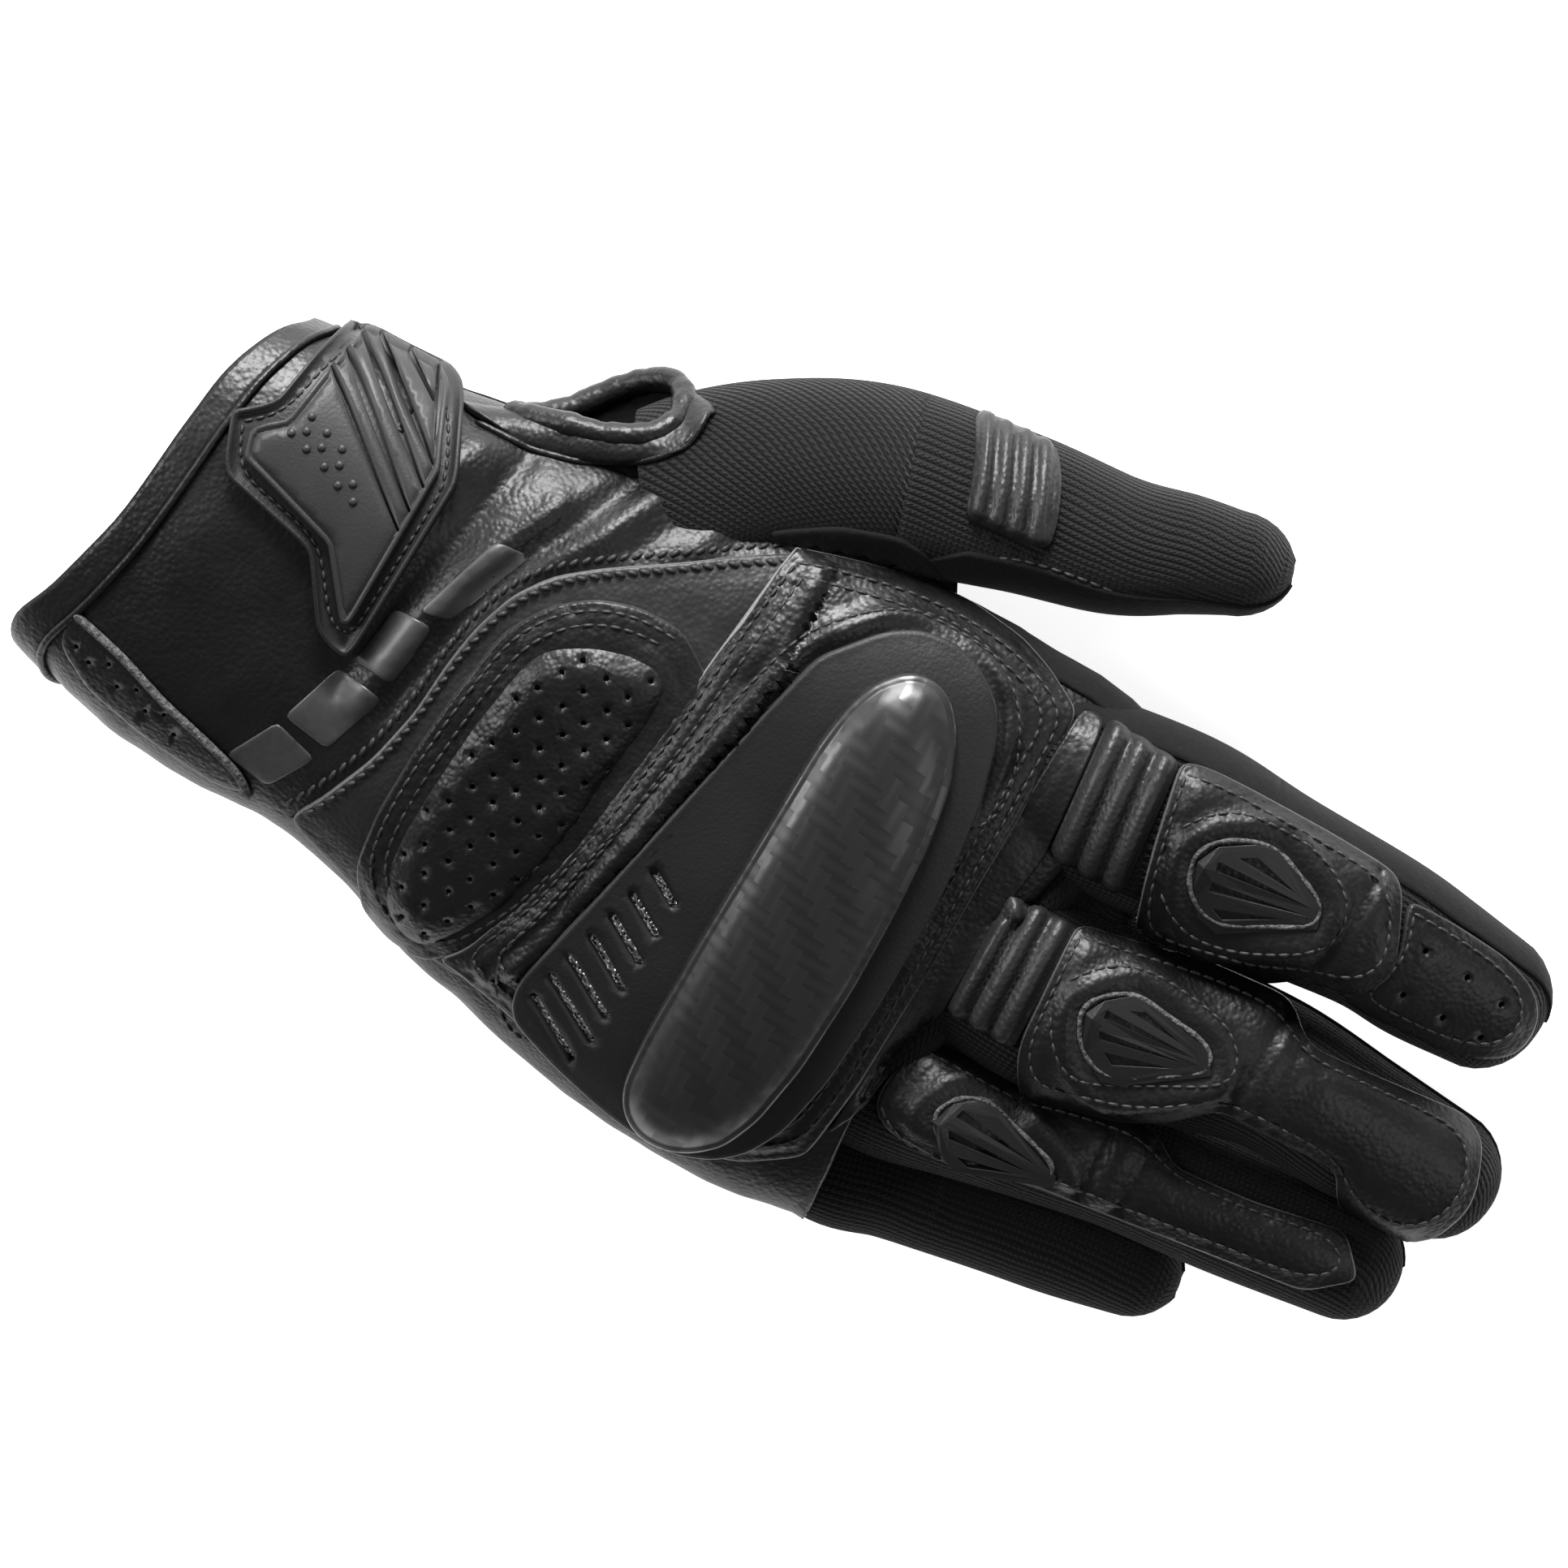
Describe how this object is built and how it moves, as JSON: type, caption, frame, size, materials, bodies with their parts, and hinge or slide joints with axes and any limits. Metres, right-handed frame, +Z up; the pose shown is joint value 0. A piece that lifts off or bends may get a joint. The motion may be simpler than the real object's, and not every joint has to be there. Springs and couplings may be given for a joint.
{
  "type": "riding glove",
  "caption": "Right-hand short-cuff motorcycle glove with moulded knuckle guard, finger protectors, stretch panels and wrist strap.",
  "frame": {"origin": "centre of the flat face under the palm heel patch", "axes": "+X towards the fingertips, +Y towards the thumb side, +Z up out of the back of the hand"},
  "size_m": [0.2589, 0.1419, 0.053],
  "materials": {
    "black_leather": "fine-grained matt black goatskin",
    "grey_leather": "fine-grained charcoal goatskin",
    "suede": "napped black microsuede",
    "knit": "ribbed black stretch knit",
    "guard_rubber": "matt moulded rubber",
    "protector_rubber": "satin moulded rubber",
    "badge_rubber": "matt moulded rubber",
    "shell_twill": "twill-look shell under satin clear coat",
    "vent_mesh": "bright woven vent mesh",
    "foam": "closed-cell foam",
    "hook_and_loop": "hook-and-loop tape"
  },
  "bodies": {
    "hand": {"back_foam": "foam", "cuff_back": "black_leather", "cuff_hem": "black_leather", "cuff_little_side": "black_leather", "cuff_palm": "suede", "cuff_thumb_side": "black_leather", "guard_frame": "guard_rubber", "guard_shell": "shell_twill", "guard_vent_mesh": "vent_mesh", "hand_back": "black_leather", "hand_palm": "suede", "hand_sides": "black_leather", "index_accordion": "grey_leather", "knuckle_panel": "black_leather", "little_root_gusset": "knit", "metacarpal_pad": "black_leather", "middle_accordion": "grey_leather", "notch_binding": "black_leather", "palm_heel_patch": "suede", "ring_root_gusset": "knit", "strap_loop_patch": "hook_and_loop", "strap_root": "black_leather", "thumb_root_gusset": "knit", "yoke_panel": "grey_leather"},
    "index_base": {"index_back": "black_leather", "index_foam": "foam", "index_fourchettes": "knit", "index_palm": "suede", "index_protector": "protector_rubber"},
    "index_tip": {"index_tip_back": "black_leather", "index_tip_fourchettes": "knit", "index_tip_palm": "suede"},
    "little_base": {"little_back": "knit", "little_palm": "suede"},
    "little_tip": {"little_tip_back": "knit", "little_tip_palm": "suede"},
    "middle_base": {"middle_back": "black_leather", "middle_foam": "foam", "middle_fourchettes": "knit", "middle_palm": "suede", "middle_protector": "protector_rubber"},
    "middle_tip": {"middle_tip_back": "black_leather", "middle_tip_fourchettes": "knit", "middle_tip_palm": "suede"},
    "ring_base": {"ring_back": "black_leather", "ring_foam": "foam", "ring_fourchettes": "knit", "ring_palm": "suede", "ring_protector": "protector_rubber"},
    "ring_tip": {"ring_tip_back": "black_leather", "ring_tip_fourchettes": "knit", "ring_tip_palm": "suede"},
    "strap": {"strap_badge": "badge_rubber", "strap_hook_pad": "hook_and_loop", "strap_tab": "black_leather"},
    "thumb_base": {"thumb_back": "knit", "thumb_palm": "suede", "thumb_ribs": "grey_leather"},
    "thumb_tip": {"thumb_tip_back": "knit", "thumb_tip_palm": "suede"}
  },
  "joints": [
    {"name": "index_knuckle", "type": "hinge", "parent": "hand", "child": "index_base", "pos_m": [0.09, 0.0532, 0.024], "axis": [0.0041, 1, 0], "range_deg": [-10, 60], "deforming": ["index_accordion"]},
    {"name": "index_middle_joint", "type": "hinge", "parent": "index_base", "child": "index_tip", "pos_m": [0.139, 0.053, 0.0195], "axis": [0.0905, 0.9959, 0], "range_deg": [-5, 65]},
    {"name": "middle_knuckle", "type": "hinge", "parent": "hand", "child": "middle_base", "pos_m": [0.09, 0.0176, 0.025], "axis": [-0.1016, 0.9948, 0], "range_deg": [-10, 60], "deforming": ["middle_accordion"]},
    {"name": "middle_middle_joint", "type": "hinge", "parent": "middle_base", "child": "middle_tip", "pos_m": [0.137, 0.0224, 0.0205], "axis": [0.0444, 0.999, 0], "range_deg": [-5, 65]},
    {"name": "ring_knuckle", "type": "hinge", "parent": "hand", "child": "ring_base", "pos_m": [0.0885, -0.011, 0.0215], "axis": [-0.1828, 0.9832, 0], "range_deg": [-10, 60], "deforming": ["ring_root_gusset"]},
    {"name": "ring_middle_joint", "type": "hinge", "parent": "ring_base", "child": "ring_tip", "pos_m": [0.124, -0.0044, 0.018], "axis": [-0.1121, 0.9937, 0], "range_deg": [-5, 65]},
    {"name": "little_knuckle", "type": "hinge", "parent": "hand", "child": "little_base", "pos_m": [0.0865, -0.0302, 0.0155], "axis": [-0.1669, 0.986, 0], "range_deg": [-10, 60], "deforming": ["little_root_gusset"]},
    {"name": "little_middle_joint", "type": "hinge", "parent": "little_base", "child": "little_tip", "pos_m": [0.1125, -0.0258, 0.0115], "axis": [-0.2106, 0.9776, 0], "range_deg": [-5, 65]},
    {"name": "thumb_root", "type": "hinge", "parent": "hand", "child": "thumb_base", "pos_m": [0.016, 0.069, 0.019], "axis": [-0.3171, 0.7769, -0.544], "range_deg": [-12, 5], "deforming": ["thumb_root_gusset"]},
    {"name": "thumb_joint", "type": "hinge", "parent": "thumb_base", "child": "thumb_tip", "pos_m": [0.053, 0.082, 0.016], "axis": [-0.2483, 0.7935, -0.5556], "range_deg": [-10, 45], "deforming": ["thumb_ribs"]},
    {"name": "strap_hinge", "type": "hinge", "parent": "hand", "child": "strap", "pos_m": [-0.044, 0.0576, 0.0206], "axis": [-1, 0, 0], "range_deg": [0, 140]}
  ]
}
